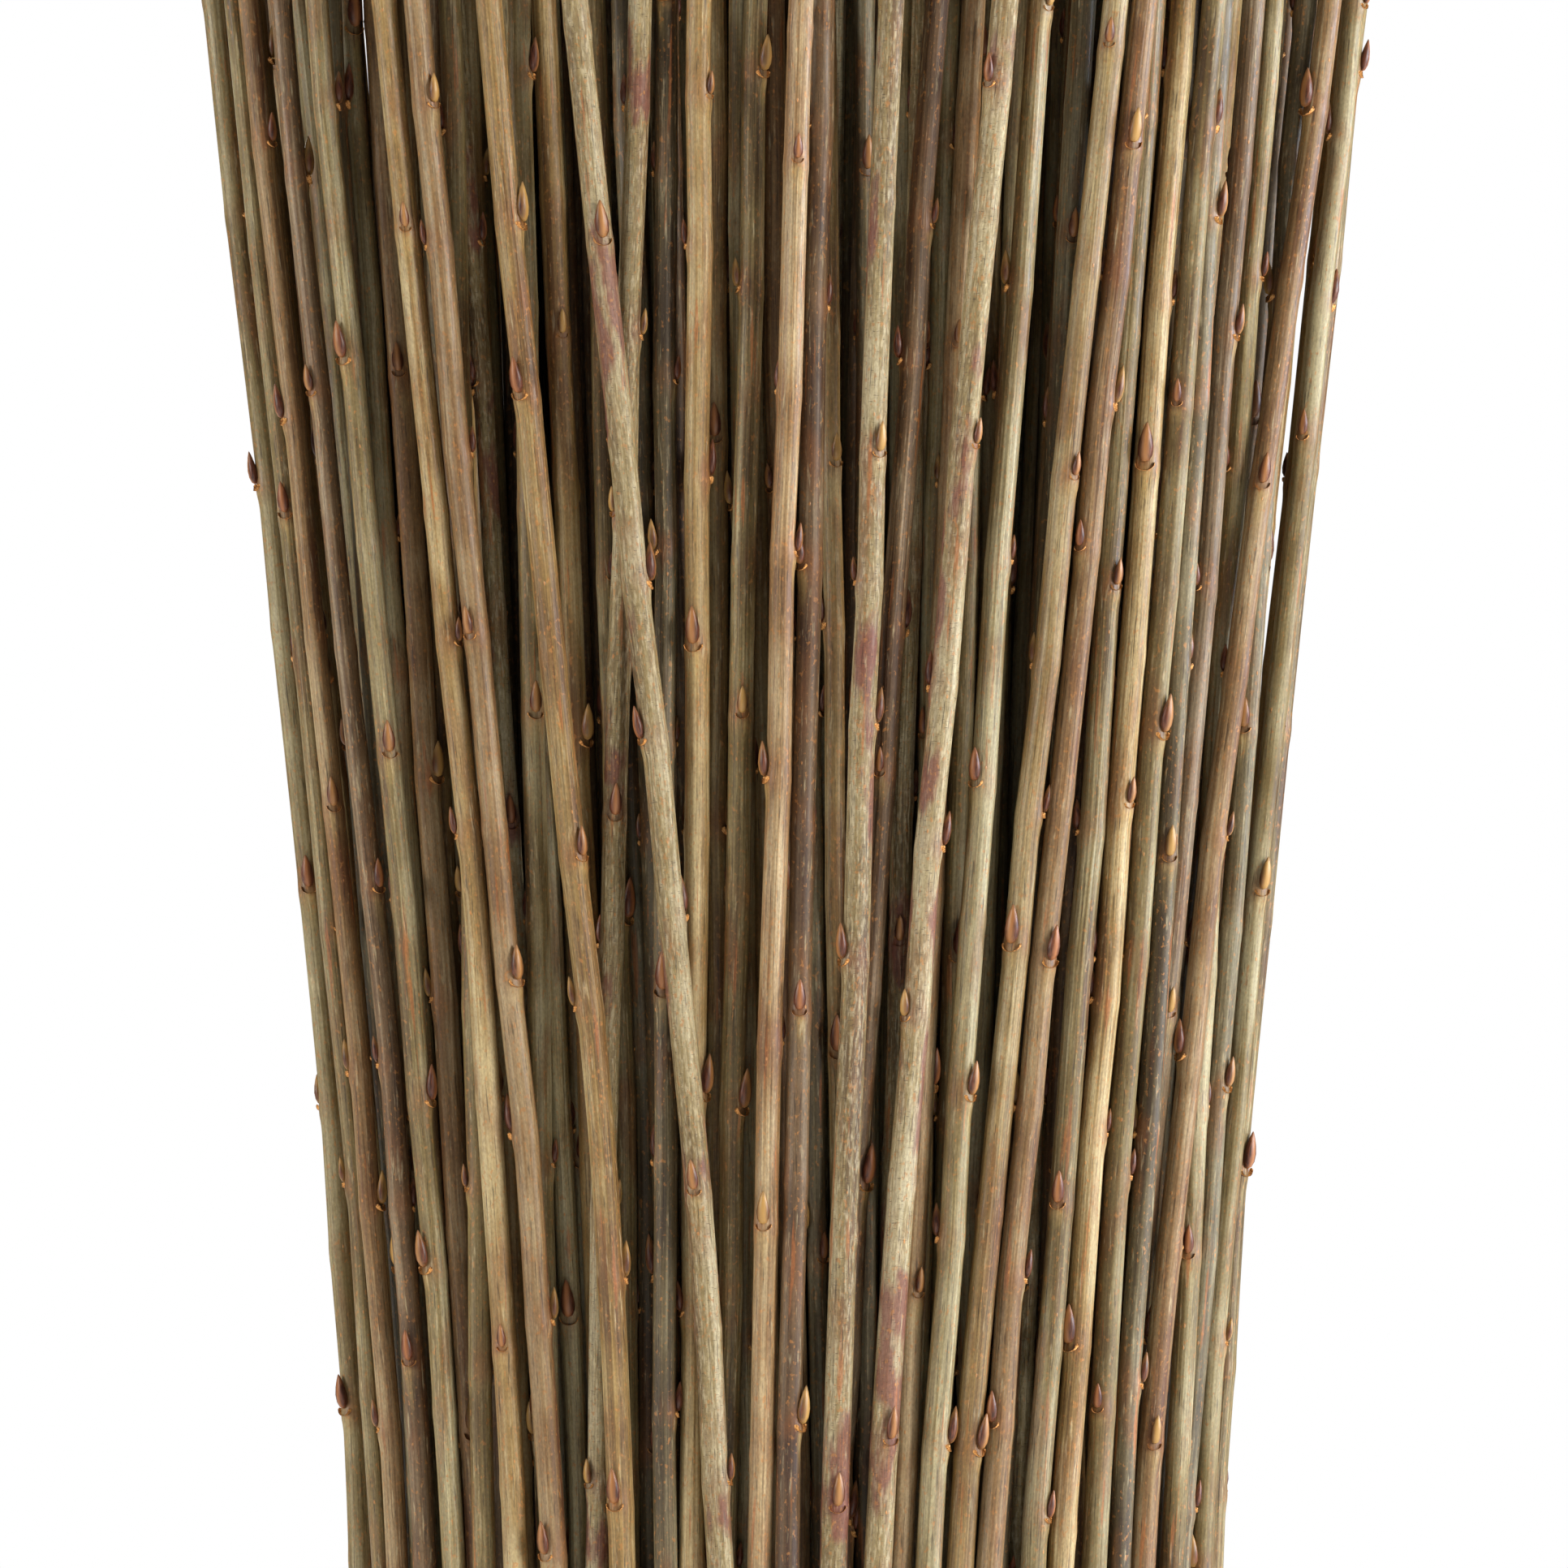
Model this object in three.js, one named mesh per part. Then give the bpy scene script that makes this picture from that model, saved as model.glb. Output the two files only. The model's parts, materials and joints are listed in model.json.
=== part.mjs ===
// A bundle of willow stems, tied with twine and standing on its level cut ends.
// The stems are gathered at the tie and fan out above it. The front faces -Y.
import * as THREE from "three";

// Driving dimensions, in millimetres.
const STEM_LENGTH = 600;
const TRIM_SPREAD = 14; // how much lower the shortest tip ends than the longest
const STEM_SIDES = 7;
const STEM_TAPER = 0.9; // diameter at the tip over diameter at the butt
const LEVEL_STEP = 50; // height between two rings of a stem
const CLEARANCE = 0.45; // air kept between any two stems

const TIE_HEIGHT = 150;
const TIE_TURNS = 4;
const TWINE_DIAMETER = 3.2;
const TWINE_SIDES = 8;
const TWINE_STEPS_PER_TURN = 36;
const KNOT_SIZE = [11, 7, 13]; // across, front to back and up, of the knot behind the turns

const WAIST_HALF_WIDTH = 70; // of the bundle at the tie
const DEPTH_OVER_WIDTH = 0.56;
const FLARE = 0.125; // how far the sides lean out per millimetre of height, well above the tie
const BEND_HEIGHT = 120; // height over which the sides turn from upright to that lean

const ROW_DEPTH = 6.5; // from one row of stems to the next one behind it
const PACKED_DEPTH = 20; // from the bundle's skin to the packed stems inside it
const PACKED_SIDES = 40;
const BACK_STEMS = 21;
const BACK_DIAMETERS = [4.2, 3.8, 4.5, 4.0, 3.7]; // taken in turn round the back
const BACK_LEANS = [0.02, -0.03, 0.035, -0.015, 0.0, -0.04, 0.03]; // radians between butt and tip

const BARKS = {
  olive: { color: 0x857651, roughness: 0.6 },
  tan: { color: 0x917a50, roughness: 0.6 },
  pink: { color: 0x8c714d, roughness: 0.6 },
  purple: { color: 0x705a42, roughness: 0.55 },
  slate: { color: 0x685c45, roughness: 0.55 },
  grey: { color: 0x8d7d5a, roughness: 0.65 },
};
const BACK_BARKS = ["olive", "tan", "slate", "pink", "olive", "purple", "tan", "grey"];
const PACKED_FINISH = { color: 0x4d4433, roughness: 0.7 };
const TWINE_FINISH = { color: 0xa98c5c, roughness: 0.9 };

// The stems that show from the front, left to right at the top. Each row holds the stem's distance
// from the middle plane at three heights, its diameter, how many rows it lies behind the skin,
// and its bark.
const GAUGE_HEIGHTS = [195, 320, 446];
const FRONT_STEMS = [
  [-71, -80, -92, 3.7, 0.0, "olive"],
  [-67, -76.5, -88, 3.6, 0.3, "pink"],
  [-64, -72.5, -83, 3.7, 0.6, "purple"],
  [-57.5, -68, -78, 3.9, 0.0, "olive"],
  [-61, -66.5, -73, 3.6, 1.2, "slate"],
  [-48, -59.5, -68, 4.1, 0.0, "tan"],
  [-41.5, -51, -61, 4.3, 0.0, "pink"],
  [-46, -47.5, -52, 3.8, 1.3, "olive"],
  [-28, -36.5, -48, 4.4, 0.0, "tan"],
  [-37.5, -41, -42.5, 3.9, 1.2, "olive"],
  [-12, -24.5, -37, 4.4, -0.4, "grey"],
  [-24.5, -31, -32, 3.9, 2.1, "olive"],
  [-34, -27.5, -23, 4.0, 1.1, "grey"],
  [-18.5, -19.5, -19, 3.8, 1.3, "slate"],
  [-14, -15, -14, 4.2, 0.6, "tan"],
  [-11, -10.5, -6, 4.0, 1.4, "olive"],
  [-8, -7, 0, 4.1, 0.0, "pink"],
  [-2.5, 2, 5.5, 4.0, 1.1, "purple"],
  [5, 7.5, 14.5, 4.4, 0.5, "grey"],
  [2.5, 14, 24, 4.1, 1.3, "purple"],
  [13, 22, 29, 4.0, 1.6, "pink"],
  [7.5, 20, 34, 4.5, -0.4, "grey"],
  [18, 26, 38, 4.2, 0.8, "olive"],
  [28, 39, 47, 4.2, 1.4, "slate"],
  [22, 37, 54, 4.4, 0.0, "tan"],
  [32, 43.5, 58, 4.3, 0.0, "pink"],
  [36, 47, 62, 3.9, 1.5, "slate"],
  [40, 50.5, 61, 4.2, 0.5, "olive"],
  [45.5, 56.5, 66, 4.4, 0.0, "tan"],
  [55, 64, 70.5, 4.2, 0.0, "olive"],
  [51, 60, 68, 3.8, 1.4, "slate"],
  [59, 67, 75.5, 4.0, 0.5, "purple"],
  [67, 73, 80, 3.9, 0.8, "olive"],
  [62, 77, 86, 3.8, 1.4, "slate"],
  [63.5, 77.5, 92, 4.1, 0.0, "pink"],
  [70.5, 80.5, 94, 3.8, 0.2, "olive"],
];

// The bundle's outline at a height: an ellipse, narrowest at the tie.
function outlineAt(height) {
  const away = Math.hypot(height - TIE_HEIGHT, BEND_HEIGHT) - BEND_HEIGHT;
  const halfWidth = WAIST_HALF_WIDTH + FLARE * away;
  return { halfWidth, halfDepth: DEPTH_OVER_WIDTH * halfWidth };
}

function between(from, to, share) {
  return from + (to - from) * share;
}

// Heights of a stem's rings: every LEVEL_STEP, and the last one at its own trimmed tip.
function levelsOf(index) {
  const levels = [];
  for (let height = 0; height < STEM_LENGTH; height += LEVEL_STEP) levels.push(height);
  const shortening = TRIM_SPREAD * Math.abs(Math.sin(2.4 * index));
  levels.push(STEM_LENGTH - shortening);
  return levels;
}

// A straight line through the two gauge points that lie nearest to the height.
function throughGauges(offsets, height) {
  const [low, middle, high] = GAUGE_HEIGHTS;
  if (height < middle) {
    const share = (Math.max(height, TIE_HEIGHT) - low) / (middle - low);
    return between(offsets[0], offsets[1], share);
  }
  return between(offsets[1], offsets[2], (height - middle) / (high - middle));
}

// Where a front stem would lie if no other stem pushed it.
function frontStem([low, middle, high, diameter, row, bark], index) {
  const points = levelsOf(index).map((height) => {
    const { halfWidth, halfDepth } = outlineAt(height);
    const across = throughGauges([low, middle, high], height);
    const side = THREE.MathUtils.clamp(across / halfWidth, -0.98, 0.98);
    const depth = (halfDepth - diameter / 2) * Math.sqrt(1 - side * side);
    return new THREE.Vector3(side * halfWidth, row * ROW_DEPTH - depth, height);
  });
  const number = String(index + 1).padStart(2, "0");
  return { name: `front_stem_${number}`, radius: diameter / 2, bark, points };
}

// A back stem keeps its place round the bundle, but for a slight lean to one side.
function backStem(index) {
  const diameter = BACK_DIAMETERS[index % BACK_DIAMETERS.length];
  const lean = BACK_LEANS[index % BACK_LEANS.length];
  const place = Math.PI * ((index + 0.5) / BACK_STEMS);
  const points = levelsOf(index + FRONT_STEMS.length).map((height) => {
    const { halfWidth, halfDepth } = outlineAt(height);
    const angle = place + lean * (height / STEM_LENGTH);
    const x = (halfWidth - diameter / 2) * Math.cos(angle);
    const y = (halfDepth - diameter / 2) * Math.sin(angle);
    return new THREE.Vector3(x, y, height);
  });
  const number = String(index + 1).padStart(2, "0");
  const bark = BACK_BARKS[index % BACK_BARKS.length];
  return { name: `back_stem_${number}`, radius: diameter / 2, bark, points };
}

// Pushes two stems apart over one step of height, at the place where they come closest.
function pushApart(first, second, level) {
  const [a, b] = [first.points, second.points];
  const startX = a[level].x - b[level].x;
  const startY = a[level].y - b[level].y;
  const moveX = a[level + 1].x - b[level + 1].x - startX;
  const moveY = a[level + 1].y - b[level + 1].y - startY;
  const travel = moveX * moveX + moveY * moveY;
  const nearest = travel > 0 ? -(startX * moveX + startY * moveY) / travel : 0;
  const share = THREE.MathUtils.clamp(nearest, 0, 1);
  const gapX = startX + share * moveX;
  const gapY = startY + share * moveY;
  const distance = Math.hypot(gapX, gapY) || 1e-6;
  const missing = first.radius + second.radius + CLEARANCE - distance;
  if (missing <= 0) return;
  const push = (0.5 * missing) / distance / ((1 - share) ** 2 + share ** 2);
  [1 - share, share].forEach((weight, step) => {
    a[level + step].x += gapX * push * weight;
    a[level + step].y += gapY * push * weight;
    b[level + step].x -= gapX * push * weight;
    b[level + step].y -= gapY * push * weight;
  });
}

// Keeps a stem between the bundle's skin and the packed stems inside it.
function keepInWall({ radius, points }) {
  for (const point of points) {
    const { halfWidth, halfDepth } = outlineAt(point.z);
    const outer = Math.hypot(point.x / (halfWidth - radius), point.y / (halfDepth - radius));
    if (outer > 1) {
      point.x /= outer;
      point.y /= outer;
    }
    const reach = radius + CLEARANCE - PACKED_DEPTH;
    const inner = Math.hypot(point.x / (halfWidth + reach), point.y / (halfDepth + reach));
    if (inner < 1) {
      point.x /= inner;
      point.y /= inner;
    }
  }
}

// A stem resists bending: each ring moves towards the line between its neighbours.
function straighten({ points }, stiffness) {
  for (let i = 1; i < points.length - 1; i++) {
    const [below, here, above] = [points[i - 1], points[i], points[i + 1]];
    here.x += stiffness * (0.5 * (below.x + above.x) - here.x);
    here.y += stiffness * (0.5 * (below.y + above.y) - here.y);
  }
}

// Lets the stems settle side by side, first with their stiffness and then by pushing alone.
function settle(stems) {
  const springyRounds = 240;
  const firmRounds = 160;
  for (let round = 0; round < springyRounds + firmRounds; round++) {
    if (round < springyRounds) stems.forEach((stem) => straighten(stem, 0.12));
    stems.forEach((first, i) => {
      stems.slice(i + 1).forEach((second) => {
        for (let level = 0; level < first.points.length - 1; level++) pushApart(first, second, level);
      });
    });
    stems.forEach(keepInWall);
  }
}

// Bends an upright cylinder of rings so that each ring lies level on its own point.
function bentRod(points, radiusAt, sides) {
  const steps = points.length - 1;
  const rod = new THREE.CylinderGeometry(1, 1, steps, sides, steps);
  rod.rotateX(Math.PI / 2);
  const vertices = rod.attributes.position;
  for (let i = 0; i < vertices.count; i++) {
    const level = Math.round(vertices.getZ(i) + steps / 2);
    const { x, y, z } = points[level];
    const radius = radiusAt(level);
    vertices.setXYZ(i, x + radius * vertices.getX(i), y + radius * vertices.getY(i), z);
  }
  rod.computeVertexNormals();
  return rod;
}

function stemMesh({ name, radius, bark, points }) {
  const last = points.length - 1;
  const taper = (level) => radius * between(1, STEM_TAPER, level / last);
  const material = new THREE.MeshStandardMaterial({ ...BARKS[bark], metalness: 0 });
  const mesh = new THREE.Mesh(bentRod(points, taper, STEM_SIDES), material);
  mesh.name = name;
  return mesh;
}

// The stems inside the bundle, packed side by side: one solid of their outer shape.
function packedStems() {
  const levels = levelsOf(0);
  const steps = levels.length - 1;
  const solid = new THREE.CylinderGeometry(1, 1, steps, PACKED_SIDES, steps);
  solid.rotateX(Math.PI / 2);
  const vertices = solid.attributes.position;
  for (let i = 0; i < vertices.count; i++) {
    const height = Math.min(levels[Math.round(vertices.getZ(i) + steps / 2)], STEM_LENGTH - TRIM_SPREAD);
    const { halfWidth, halfDepth } = outlineAt(height);
    const x = (halfWidth - PACKED_DEPTH) * vertices.getX(i);
    const y = (halfDepth - PACKED_DEPTH) * vertices.getY(i);
    vertices.setXYZ(i, x, y, height);
  }
  solid.computeVertexNormals();
  const mesh = new THREE.Mesh(solid, new THREE.MeshStandardMaterial({ ...PACKED_FINISH, metalness: 0 }));
  mesh.name = "inner_stems";
  return mesh;
}

// The twine's route: turns laid one above the other round the waist. Both ends lie at the back.
class TwineRoute extends THREE.Curve {
  getPoint(share) {
    const reach = TWINE_DIAMETER / 2 + CLEARANCE;
    const { halfWidth, halfDepth } = outlineAt(TIE_HEIGHT);
    const turn = TIE_TURNS * (share - 0.5);
    const angle = 2 * Math.PI * turn + Math.PI / 2;
    const rise = (TWINE_DIAMETER + CLEARANCE) * turn;
    const x = (halfWidth + reach) * Math.cos(angle);
    const y = (halfDepth + reach) * Math.sin(angle);
    return new THREE.Vector3(x, y, TIE_HEIGHT + rise);
  }
}

function twineMesh(geometry, name) {
  const mesh = new THREE.Mesh(geometry, new THREE.MeshStandardMaterial({ ...TWINE_FINISH, metalness: 0 }));
  mesh.name = name;
  return mesh;
}

function twineTurns() {
  const section = new THREE.Shape();
  section.absarc(0, 0, TWINE_DIAMETER / 2, 0, 2 * Math.PI);
  const turns = new THREE.ExtrudeGeometry(section, {
    curveSegments: TWINE_SIDES / 2, // an arc gets two sides for each of these
    steps: TIE_TURNS * TWINE_STEPS_PER_TURN,
    extrudePath: new TwineRoute(),
  });
  return twineMesh(turns, "twine_turns");
}

// The knot that joins the two ends lies on the turns, at the middle of the back.
function twineKnot() {
  const [across, depth, up] = KNOT_SIZE;
  const knot = new THREE.SphereGeometry(0.5, 12, 8);
  knot.scale(across, depth, up);
  const mesh = twineMesh(knot, "twine_knot");
  const turnsBack = outlineAt(TIE_HEIGHT).halfDepth + 2 * CLEARANCE + TWINE_DIAMETER;
  mesh.position.set(0, turnsBack + depth / 2, TIE_HEIGHT);
  return mesh;
}

const stems = FRONT_STEMS.map(frontStem);
for (let i = 0; i < BACK_STEMS; i++) stems.push(backStem(i));
settle(stems);

const bundle = new THREE.Group();
bundle.add(...stems.map(stemMesh), packedStems(), twineTurns(), twineKnot());

// The origin is on the ground, under the middle of the bundle's box.
const middle = new THREE.Box3().setFromObject(bundle).getCenter(new THREE.Vector3());
bundle.position.set(-middle.x, -middle.y, 0);

export default bundle;
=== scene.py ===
# %% [markdown]
# # A tied bundle of willow stems
# A willow sends up straight, whippy shoots in one summer. Cut in winter, they are bare, satin rods
# with pointed buds, and they are sold as a bundle gathered by a few turns of twine. This lesson
# makes such a bundle: each stem is grown straight, given its buds and its bark, and then bent to
# the line on which it lies in the bundle. The engineering model, the frame, says where the outer
# stems lie. It is loaded first, and nothing here moves it.

# %% Load the frame
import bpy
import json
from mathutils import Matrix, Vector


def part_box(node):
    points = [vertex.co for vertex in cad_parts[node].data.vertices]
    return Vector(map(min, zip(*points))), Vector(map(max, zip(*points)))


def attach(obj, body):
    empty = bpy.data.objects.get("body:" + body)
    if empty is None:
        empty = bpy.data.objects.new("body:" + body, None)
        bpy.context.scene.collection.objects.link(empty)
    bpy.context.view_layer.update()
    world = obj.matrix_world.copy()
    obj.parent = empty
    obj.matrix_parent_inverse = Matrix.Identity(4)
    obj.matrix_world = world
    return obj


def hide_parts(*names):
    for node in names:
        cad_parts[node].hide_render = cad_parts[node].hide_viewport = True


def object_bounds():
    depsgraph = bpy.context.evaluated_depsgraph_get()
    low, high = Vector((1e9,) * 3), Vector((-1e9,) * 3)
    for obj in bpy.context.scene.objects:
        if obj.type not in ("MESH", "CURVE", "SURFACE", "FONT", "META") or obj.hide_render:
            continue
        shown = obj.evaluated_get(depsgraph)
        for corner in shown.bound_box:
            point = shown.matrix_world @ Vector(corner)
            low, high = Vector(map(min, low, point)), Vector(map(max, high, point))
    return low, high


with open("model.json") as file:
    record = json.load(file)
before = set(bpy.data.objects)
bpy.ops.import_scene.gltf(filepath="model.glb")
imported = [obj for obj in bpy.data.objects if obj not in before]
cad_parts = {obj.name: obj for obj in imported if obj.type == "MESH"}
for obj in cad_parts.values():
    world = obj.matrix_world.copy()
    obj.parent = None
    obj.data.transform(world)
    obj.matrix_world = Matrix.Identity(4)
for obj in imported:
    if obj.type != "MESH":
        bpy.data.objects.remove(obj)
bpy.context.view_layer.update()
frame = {"nodes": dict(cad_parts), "record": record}

import json
import math
import random

import bmesh
import bpy
import numpy as np
from mathutils import Matrix, Vector

MM = 0.001

# %% [markdown]
# ## Colours and shader nodes
# Shader sockets take linear light, while colours are picked in sRGB, so one function turns a hex
# value into the other. One more function adds a shader node with its inputs and its settings, and
# hands back an output to plug into the next node. An input is named as in the editor, or numbered
# from the top where two inputs share a name.


# %% Colour and node helpers
def linear(hex_colour):
    """The linear RGBA of an sRGB hex value."""
    channels = [int(hex_colour[i : i + 2], 16) / 255 for i in (0, 2, 4)]
    return [c / 12.92 if c <= 0.04045 else ((c + 0.055) / 1.055) ** 2.4 for c in channels] + [1.0]


def add(tree, kind, inputs=None, settings=None, out=0):
    """Adds a shader node. An input is a socket to link, a hex colour or a plain value."""
    node = tree.nodes.new(kind)
    for name, value in (settings or {}).items():
        setattr(node, name, value)
    for name, value in (inputs or {}).items():
        if isinstance(value, bpy.types.NodeSocket):
            tree.links.new(value, node.inputs[name])
        else:
            node.inputs[name].default_value = linear(value) if isinstance(value, str) else value
    return node.outputs[out]


def new_material(name, roughness, ior):
    """A material with one Principled shader, whose constant values sit on its own sockets."""
    material = bpy.data.materials.new(name)
    material.use_nodes = True
    shader = material.node_tree.nodes["Principled BSDF"]
    shader.inputs["Roughness"].default_value = roughness
    shader.inputs["IOR"].default_value = ior
    return material, material.node_tree, shader


def grain(tree, width, stretch=1.0, detail=2.0):
    """A natural pattern of streaks, each about one width wide and stretch times as long up the stem."""
    grown = add(tree, "ShaderNodeAttribute", {}, {"attribute_name": "grown"}, "Vector")
    squeezed = add(tree, "ShaderNodeMapping", {"Vector": grown, "Scale": (1, 1, 1 / stretch)})
    return add(tree, "ShaderNodeTexNoise", {"Vector": squeezed, "Scale": 1 / width, "Detail": detail})


COLOUR = {"data_type": "RGBA"}  # makes a Mix node mix its inputs 6 and 7 and send the colour out at 2
MULTIPLY = {"operation": "MULTIPLY"}
MULTIPLY_ADD = {"operation": "MULTIPLY_ADD"}
print("mid grey as linear light:", [round(channel, 3) for channel in linear("808080")])

# %% [markdown]
# ## Bark of a one-year willow rod
# The bark is thin and slightly waxy, so it has a satin shine. As a cut rod dries, the bark shrinks
# into fine lengthwise wrinkles and paler and darker bands, on some rods far more than on others.
# It carries small corky pores called lenticels, brown patches and specks, short dark cracks, pale
# scuffs and thin tears that bare the orange layer under it, and it flushes brown round each bud.
# Every one of these is tied to the stem and not to the space round it, so each pattern is read
# from an attribute, `grown`, that holds each point's place on the stem before it was bent. Then
# the wrinkles follow every bend. Two more attributes hold one value for a whole stem: `tone`, how
# pale it is, and `dryness`, how deeply it has wrinkled, and so how much painted shade darkens its
# wrinkles and painted highlight lightens their ridges.
#
# A rod of willow may be olive, tan, pinkish, purple, slate or grey with scurf. One function makes
# them all from three colours: that of its dark bands, its usual colour and that of its pale bands.

# %% Bark material
WRINKLE_WIDTH = 0.28 * MM  # twice the real width, so that the wrinkles show from a metre away
GRIT_WIDTH = 0.3 * MM  # dust and roughness, drawn coarser than they are for the same reason
CRACK_WIDTH = 0.8 * WRINKLE_WIDTH
SCUFF_WIDTH = 1.7 * WRINKLE_WIDTH
BAND_WIDTH = 0.6 * MM
RIB_WIDTH = 0.8 * BAND_WIDTH
SPECK_WIDTH = 0.6 * MM
TEAR_WIDTH = 1.3 * MM
PATCH_WIDTH = 4 * MM
DRIFT_WIDTH = 9 * MM  # of the slow change in colour along and round a stem
BLOTCH_WIDTH = 1.5 * MM  # of the flush round a bud
SCURF_WIDTH = 0.4 * MM
RED_FLUSH_WIDTH = 7 * MM
CROSS_CRACK_WIDTH = 0.9 * MM
PORE_SPACING = 2.2 * MM
PORE_RADIUS = 0.09  # of the spacing
RELIEF = 0.13 * MM  # height of the wrinkles


def banded_colour(tree, dark, usual, light):
    """Lengthwise bands of three colours, which drift along the stem and round its sunned side."""
    bands = grain(tree, BAND_WIDTH, 90, 3)
    drift = grain(tree, DRIFT_WIDTH, 2.5, 3)
    sun = add(tree, "ShaderNodeAttribute", {}, {"attribute_name": "sun_side"}, "Fac")
    slow = add(tree, "ShaderNodeMath", {0: sun, 1: 0.22, 2: drift}, MULTIPLY_ADD)
    hue = add(tree, "ShaderNodeMath", {0: bands, 1: 0.75, 2: slow}, MULTIPLY_ADD)
    lift = add(tree, "ShaderNodeMapRange", {0: hue, 1: 0.68, 2: 0.98})
    shine = add(tree, "ShaderNodeMapRange", {0: hue, 1: 0.98, 2: 1.28})
    colour = add(tree, "ShaderNodeMix", {0: lift, 6: dark, 7: usual}, COLOUR, 2)
    return add(tree, "ShaderNodeMix", {0: shine, 6: colour, 7: light}, COLOUR, 2)


def marked(tree, colour, pattern, low, high, strength, mark):
    """Lays a mark of another colour where a pattern is high."""
    share = add(tree, "ShaderNodeMapRange", {0: pattern, 1: low, 2: high, 3: 0.0, 4: strength})
    return add(tree, "ShaderNodeMix", {0: share, 6: colour, 7: mark}, COLOUR, 2)


def bud_flush(tree, colour, flush):
    """A brown flush round each bud, and a pale streak down the stem below it."""
    near_bud = add(tree, "ShaderNodeAttribute", {}, {"attribute_name": "near_bud"}, "Fac")
    below_bud = add(tree, "ShaderNodeAttribute", {}, {"attribute_name": "below_bud"}, "Fac")
    patches = grain(tree, BLOTCH_WIDTH, 4, 3)
    patchy_flush = add(tree, "ShaderNodeMath", {0: near_bud, 1: patches}, MULTIPLY)
    patchy_streak = add(tree, "ShaderNodeMath", {0: below_bud, 1: patches}, MULTIPLY)
    colour = marked(tree, colour, patchy_flush, 0.14, 0.6, 0.6, flush)
    return marked(tree, colour, patchy_streak, 0.15, 0.5, 0.6, "b39a60")


def scurfed(tree, colour, strength):
    """Peeling grey scurf in fine flakes, over flushes of red-brown bark that crack across."""
    flakes = grain(tree, SCURF_WIDTH, 5, 5)
    flushes = grain(tree, RED_FLUSH_WIDTH, 3, 4)
    cracks = grain(tree, CROSS_CRACK_WIDTH, 0.22, 2)
    colour = marked(tree, colour, flakes, 0.5, 0.66, strength, "c4b796")
    colour = marked(tree, colour, flushes, 0.57, 0.63, 0.8, "6e3b31")
    return marked(tree, colour, cracks, 0.62, 0.7, 0.6, "4a3528")


def worn(tree, colour, scuffs):
    """Brown specks, tears that bare the orange under-bark, pale scuffs and short dark cracks."""
    specks = grain(tree, SPECK_WIDTH, 1.5, 2)
    tears = grain(tree, TEAR_WIDTH, 18, 3)
    cracks = grain(tree, CRACK_WIDTH, 24, 2)
    colour = marked(tree, colour, specks, 0.6, 0.68, 0.6, "a8713c")
    colour = marked(tree, colour, tears, 0.66, 0.7, 0.6, "9c5c30")
    colour = marked(tree, colour, scuffs, 0.6, 0.74, 0.5, "bfb08c")
    return marked(tree, colour, cracks, 0.6, 0.7, 0.7, "33261a")


def pores(tree):
    """Lenticels: small corky dots, one to each cell of a Voronoi pattern, taller than wide."""
    grown = add(tree, "ShaderNodeAttribute", {}, {"attribute_name": "grown"}, "Vector")
    place = add(tree, "ShaderNodeMapping", {"Vector": grown, "Scale": (1, 1, 0.5)})
    cells = add(tree, "ShaderNodeTexVoronoi", {"Vector": place, "Scale": 1 / PORE_SPACING})
    edge = {0: cells, 1: 0.5 * PORE_RADIUS, 2: PORE_RADIUS, 3: 0.7, 4: 0.0}
    return add(tree, "ShaderNodeMapRange", edge)


def painted_wrinkle_shade_grit_and_tone(tree, colour, wrinkles, dryness):
    """Paints shade into the wrinkles of a dry stem and highlight onto their ridges, then darkens by its
    own grit and tone.
    """
    # painted shade and highlight: darker in the wrinkle valleys, paler on their ridges, from the same
    # pattern as the bump
    deep = add(tree, "ShaderNodeMapRange", {0: wrinkles, 1: 0.32, 2: 0.68, 3: 0.62, 4: 1.26})
    wrinkled = add(tree, "ShaderNodeMix", {0: dryness, 2: 1.0, 3: deep})
    grit = grain(tree, GRIT_WIDTH, 2, 2)
    gritty = add(tree, "ShaderNodeMapRange", {0: grit, 1: 0.3, 2: 0.7, 3: 0.82, 4: 1.16})
    tone = add(tree, "ShaderNodeAttribute", {}, {"attribute_name": "tone"}, "Fac")
    shade = add(tree, "ShaderNodeMath", {0: wrinkled, 1: gritty}, MULTIPLY)
    value = add(tree, "ShaderNodeMath", {0: shade, 1: tone}, MULTIPLY)
    return add(tree, "ShaderNodeHueSaturation", {"Color": colour, "Value": value})


def wrinkled_normal(tree, wrinkles, dryness, pore):
    """Ribs and wrinkles, as deep as the stem is dry, with the pores standing proud of them."""
    ribs = grain(tree, RIB_WIDTH, 60, 1)
    ridged = add(tree, "ShaderNodeMath", {0: ribs, 1: 1.5, 2: wrinkles}, MULTIPLY_ADD)
    dried = add(tree, "ShaderNodeMath", {0: ridged, 1: dryness}, MULTIPLY)
    raised = add(tree, "ShaderNodeMath", {0: dried, 1: pore})
    return add(tree, "ShaderNodeBump", {"Strength": 0.7, "Distance": RELIEF, "Height": raised})


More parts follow.
